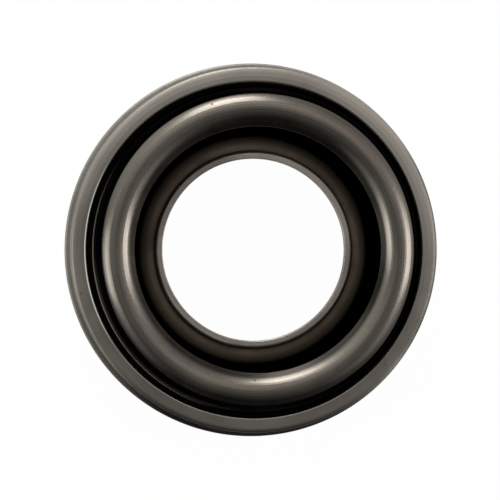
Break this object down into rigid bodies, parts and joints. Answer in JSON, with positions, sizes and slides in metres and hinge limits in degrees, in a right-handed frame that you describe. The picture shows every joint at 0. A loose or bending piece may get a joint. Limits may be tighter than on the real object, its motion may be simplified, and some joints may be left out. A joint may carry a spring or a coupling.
{
  "type": "clutch release bearing",
  "caption": "Self-centring clutch release bearing: crimped steel case, floating ball bearing with a rounded thrust nose, and a pressed hub with a collar for the release sleeve.",
  "frame": {"origin": "centre of the case on the rear face of the hub plate, which it stands on", "axes": "+Z along the bearing's axis, from the rear face to the nose; X and Y are the directions of the side float"},
  "size_m": [0.0684, 0.0684, 0.021],
  "materials": {
    "case_steel": "dark satin drawn steel",
    "hub_steel": "dark phosphated pressed steel",
    "spring_steel": "blued spring steel",
    "race_steel": "dark hardened steel",
    "nose_steel": "hardened bearing steel, turned",
    "ball_steel": "polished bearing steel",
    "seal_rubber": "matt black nitrile",
    "cage_plastic": "natural polyamide"
  },
  "bodies": {
    "housing": {"front_cover": "case_steel", "hub_plate": "hub_steel"},
    "cross_slide": {"centring_spring": "spring_steel"},
    "race": {"outer_race": "race_steel", "front_seal": "seal_rubber", "rear_seal": "seal_rubber"},
    "nose": {"nose_ring": "nose_steel"},
    "cage": {"ball_cage": "cage_plastic"},
    "ball_01": {"ball_01": "ball_steel"},
    "ball_02": {"ball_02": "ball_steel"},
    "ball_03": {"ball_03": "ball_steel"},
    "ball_04": {"ball_04": "ball_steel"},
    "ball_05": {"ball_05": "ball_steel"},
    "ball_06": {"ball_06": "ball_steel"},
    "ball_07": {"ball_07": "ball_steel"},
    "ball_08": {"ball_08": "ball_steel"},
    "ball_09": {"ball_09": "ball_steel"},
    "ball_10": {"ball_10": "ball_steel"},
    "ball_11": {"ball_11": "ball_steel"},
    "ball_12": {"ball_12": "ball_steel"},
    "ball_13": {"ball_13": "ball_steel"},
    "ball_14": {"ball_14": "ball_steel"},
    "ball_15": {"ball_15": "ball_steel"},
    "ball_16": {"ball_16": "ball_steel"},
    "ball_17": {"ball_17": "ball_steel"},
    "ball_18": {"ball_18": "ball_steel"}
  },
  "joints": [
    {"name": "float_x", "type": "slide", "parent": "housing", "child": "cross_slide", "axis": [1, 0, 0], "range_m": [-0.00109, 0.00021]},
    {"name": "float_y", "type": "slide", "parent": "cross_slide", "child": "race", "axis": [0, 1, 0], "range_m": [-0.00065, 0.00065]},
    {"name": "nose_spin", "type": "hinge", "parent": "race", "child": "nose", "pos_m": [0.00044, 0, 0.00794], "axis": [0, 0, 1], "continuous": true},
    {"name": "cage_spin", "type": "hinge", "parent": "race", "child": "cage", "pos_m": [0.00044, 0, 0.00794], "axis": [0, 0, 1], "continuous": true},
    {"name": "ball_01_roll", "type": "hinge", "parent": "cage", "child": "ball_01", "pos_m": [0.02694, 0, 0.00794], "axis": [0.6428, 0, 0.766], "continuous": true},
    {"name": "ball_02_roll", "type": "hinge", "parent": "cage", "child": "ball_02", "pos_m": [0.02534, 0.00906, 0.00794], "axis": [0.604, 0.2198, 0.766], "continuous": true},
    {"name": "ball_03_roll", "type": "hinge", "parent": "cage", "child": "ball_03", "pos_m": [0.02074, 0.01704, 0.00794], "axis": [0.4924, 0.4132, 0.766], "continuous": true},
    {"name": "ball_04_roll", "type": "hinge", "parent": "cage", "child": "ball_04", "pos_m": [0.01369, 0.02295, 0.00794], "axis": [0.3214, 0.5567, 0.766], "continuous": true},
    {"name": "ball_05_roll", "type": "hinge", "parent": "cage", "child": "ball_05", "pos_m": [0.00504, 0.0261, 0.00794], "axis": [0.1116, 0.633, 0.766], "continuous": true},
    {"name": "ball_06_roll", "type": "hinge", "parent": "cage", "child": "ball_06", "pos_m": [-0.00416, 0.0261, 0.00794], "axis": [-0.1116, 0.633, 0.766], "continuous": true},
    {"name": "ball_07_roll", "type": "hinge", "parent": "cage", "child": "ball_07", "pos_m": [-0.01281, 0.02295, 0.00794], "axis": [-0.3214, 0.5567, 0.766], "continuous": true},
    {"name": "ball_08_roll", "type": "hinge", "parent": "cage", "child": "ball_08", "pos_m": [-0.01986, 0.01704, 0.00794], "axis": [-0.4924, 0.4132, 0.766], "continuous": true},
    {"name": "ball_09_roll", "type": "hinge", "parent": "cage", "child": "ball_09", "pos_m": [-0.02446, 0.00906, 0.00794], "axis": [-0.604, 0.2198, 0.766], "continuous": true},
    {"name": "ball_10_roll", "type": "hinge", "parent": "cage", "child": "ball_10", "pos_m": [-0.02606, 0, 0.00794], "axis": [-0.6428, 0, 0.766], "continuous": true},
    {"name": "ball_11_roll", "type": "hinge", "parent": "cage", "child": "ball_11", "pos_m": [-0.02446, -0.00906, 0.00794], "axis": [-0.604, -0.2198, 0.766], "continuous": true},
    {"name": "ball_12_roll", "type": "hinge", "parent": "cage", "child": "ball_12", "pos_m": [-0.01986, -0.01704, 0.00794], "axis": [-0.4924, -0.4132, 0.766], "continuous": true},
    {"name": "ball_13_roll", "type": "hinge", "parent": "cage", "child": "ball_13", "pos_m": [-0.01281, -0.02295, 0.00794], "axis": [-0.3214, -0.5567, 0.766], "continuous": true},
    {"name": "ball_14_roll", "type": "hinge", "parent": "cage", "child": "ball_14", "pos_m": [-0.00416, -0.0261, 0.00794], "axis": [-0.1116, -0.633, 0.766], "continuous": true},
    {"name": "ball_15_roll", "type": "hinge", "parent": "cage", "child": "ball_15", "pos_m": [0.00504, -0.0261, 0.00794], "axis": [0.1116, -0.633, 0.766], "continuous": true},
    {"name": "ball_16_roll", "type": "hinge", "parent": "cage", "child": "ball_16", "pos_m": [0.01369, -0.02295, 0.00794], "axis": [0.3214, -0.5567, 0.766], "continuous": true},
    {"name": "ball_17_roll", "type": "hinge", "parent": "cage", "child": "ball_17", "pos_m": [0.02074, -0.01704, 0.00794], "axis": [0.4924, -0.4132, 0.766], "continuous": true},
    {"name": "ball_18_roll", "type": "hinge", "parent": "cage", "child": "ball_18", "pos_m": [0.02534, -0.00906, 0.00794], "axis": [0.604, -0.2198, 0.766], "continuous": true}
  ],
  "couplings": [
    {"joint": "cage_spin", "follows": "nose_spin", "ratio": 0.45985},
    {"joint": "ball_01_roll", "follows": "nose_spin", "ratio": -4.7392},
    {"joint": "ball_02_roll", "follows": "nose_spin", "ratio": -4.7392},
    {"joint": "ball_03_roll", "follows": "nose_spin", "ratio": -4.7392},
    {"joint": "ball_04_roll", "follows": "nose_spin", "ratio": -4.7392},
    {"joint": "ball_05_roll", "follows": "nose_spin", "ratio": -4.7392},
    {"joint": "ball_06_roll", "follows": "nose_spin", "ratio": -4.7392},
    {"joint": "ball_07_roll", "follows": "nose_spin", "ratio": -4.7392},
    {"joint": "ball_08_roll", "follows": "nose_spin", "ratio": -4.7392},
    {"joint": "ball_09_roll", "follows": "nose_spin", "ratio": -4.7392},
    {"joint": "ball_10_roll", "follows": "nose_spin", "ratio": -4.7392},
    {"joint": "ball_11_roll", "follows": "nose_spin", "ratio": -4.7392},
    {"joint": "ball_12_roll", "follows": "nose_spin", "ratio": -4.7392},
    {"joint": "ball_13_roll", "follows": "nose_spin", "ratio": -4.7392},
    {"joint": "ball_14_roll", "follows": "nose_spin", "ratio": -4.7392},
    {"joint": "ball_15_roll", "follows": "nose_spin", "ratio": -4.7392},
    {"joint": "ball_16_roll", "follows": "nose_spin", "ratio": -4.7392},
    {"joint": "ball_17_roll", "follows": "nose_spin", "ratio": -4.7392},
    {"joint": "ball_18_roll", "follows": "nose_spin", "ratio": -4.7392}
  ]
}
